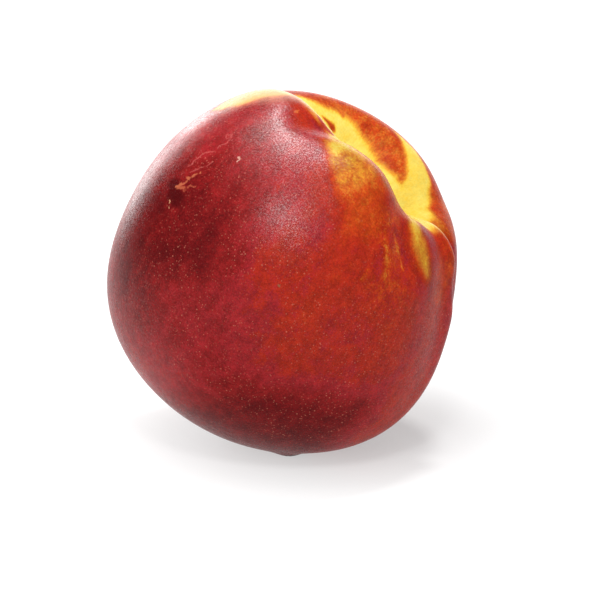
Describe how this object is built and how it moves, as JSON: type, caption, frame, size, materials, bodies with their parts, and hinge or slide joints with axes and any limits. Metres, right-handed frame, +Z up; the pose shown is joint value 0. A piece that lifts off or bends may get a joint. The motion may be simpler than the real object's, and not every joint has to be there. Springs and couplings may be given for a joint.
{
  "type": "nectarine",
  "caption": "Whole ripe nectarine with smooth red and yellow skin, resting on its tip end with the stem basin and seam turned up and to one side.",
  "frame": {"origin": "on the surface that the fruit rests on, under the middle of its box", "axes": "+Z up; +X towards the side that the stem basin leans to, where the seam runs down; -Y towards the broad cheek that faces the viewer"},
  "size_m": [0.0682, 0.0678, 0.0717],
  "materials": {
    "skin": "smooth waxy fruit skin, satin, crimson to orange-red with yellow at the stem basin"
  },
  "bodies": {
    "root": {"nectarine": "skin"}
  },
  "joints": []
}
